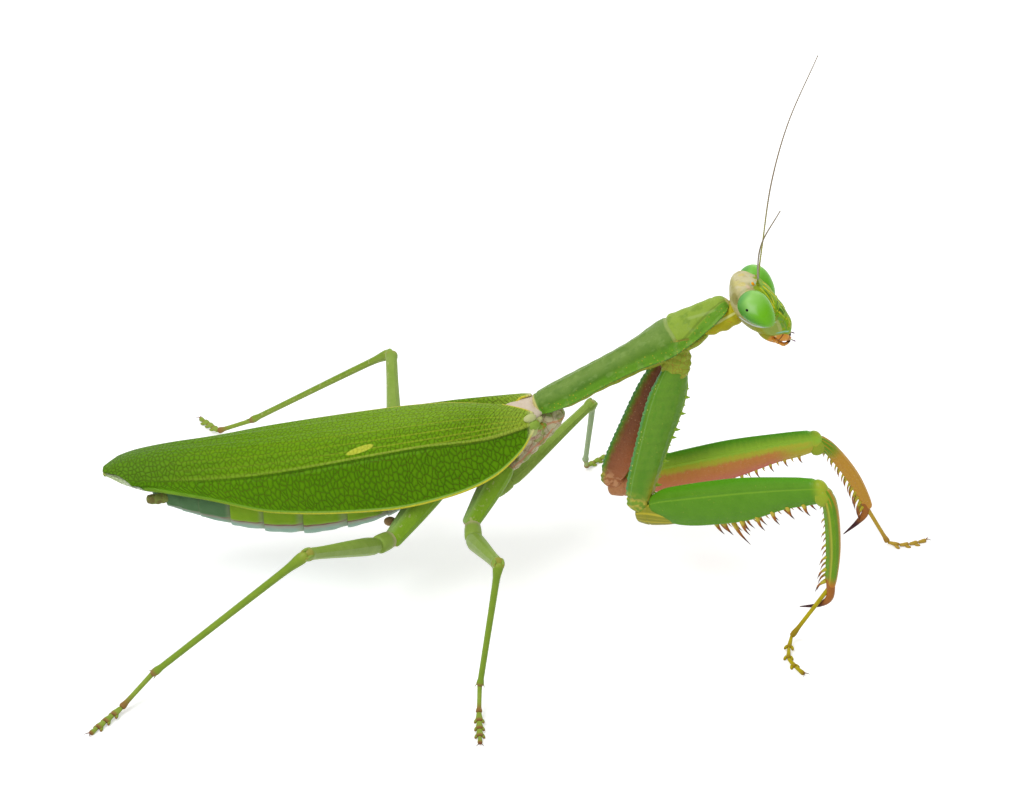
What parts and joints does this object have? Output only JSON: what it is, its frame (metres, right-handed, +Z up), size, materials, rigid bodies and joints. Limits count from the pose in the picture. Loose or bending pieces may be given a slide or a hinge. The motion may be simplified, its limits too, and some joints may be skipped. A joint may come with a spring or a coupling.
{
  "type": "praying mantis",
  "caption": "Still, life-size model of a green praying mantis standing on its walking legs with its spiny fore legs half raised, wings folded along the back.",
  "frame": {"origin": "bottom centre of the bounding box, on the floor that the feet stand on", "axes": "+X towards the head, +Y to the animal's left, +Z up"},
  "size_m": [0.103, 0.0758, 0.0614],
  "materials": {
    "eye": "glossy bright green compound eye, paler on top, with a tiny dark spot",
    "head": "satin cuticle, yellow-green ridged face and pale beige crown",
    "mouth": "glossy orange-brown jaws and palps with dark tips",
    "antenna": "matte grey-brown, finely ringed",
    "shield": "satin green cuticle with a pale sheen and a dark toothed margin",
    "thorax": "pinkish beige membrane and plates with brown flecks",
    "tegmen": "leathery leaf-green wing with a net of raised veins and a yellow spot",
    "hindwing": "whitish translucent membrane with fine cells",
    "abdomen": "satin green rings with pale teal undersides and pale joints",
    "raptorial": "satin bright green outside, maroon-brown inside, with dark-tipped spines",
    "leg": "satin green with brownish pink joints and brown-banded feet"
  },
  "bodies": {
    "root": {"abdomen_1": "abdomen", "abdomen_2": "abdomen", "abdomen_3": "abdomen", "abdomen_4": "abdomen", "abdomen_5": "abdomen", "abdomen_6": "abdomen", "abdomen_7": "abdomen", "abdomen_8": "abdomen", "anal_plate": "abdomen", "antenna_left": "antenna", "antenna_right": "antenna", "cercus_left": "abdomen", "cercus_right": "abdomen", "coxa_fore_left": "raptorial", "coxa_fore_right": "raptorial", "coxa_hind_left": "leg", "coxa_hind_right": "leg", "coxa_mid_left": "leg", "coxa_mid_right": "leg", "eye_left": "eye", "eye_right": "eye", "femur_fore_left": "raptorial", "femur_fore_right": "raptorial", "femur_hind_left": "leg", "femur_hind_right": "leg", "femur_mid_left": "leg", "femur_mid_right": "leg", "forewing_left": "tegmen", "forewing_right": "tegmen", "head": "head", "hindwing_left": "hindwing", "hindwing_right": "hindwing", "mesothorax": "thorax", "metathorax": "thorax", "mouthparts": "mouth", "neck": "shield", "pronotum": "shield", "prothorax": "shield", "tarsus_fore_left": "raptorial", "tarsus_fore_right": "raptorial", "tarsus_hind_left": "leg", "tarsus_hind_right": "leg", "tarsus_mid_left": "leg", "tarsus_mid_right": "leg", "tibia_fore_left": "raptorial", "tibia_fore_right": "raptorial", "tibia_hind_left": "leg", "tibia_hind_right": "leg", "tibia_mid_left": "leg", "tibia_mid_right": "leg", "trochanter_fore_left": "raptorial", "trochanter_fore_right": "raptorial", "trochanter_hind_left": "leg", "trochanter_hind_right": "leg", "trochanter_mid_left": "leg", "trochanter_mid_right": "leg"}
  },
  "joints": []
}
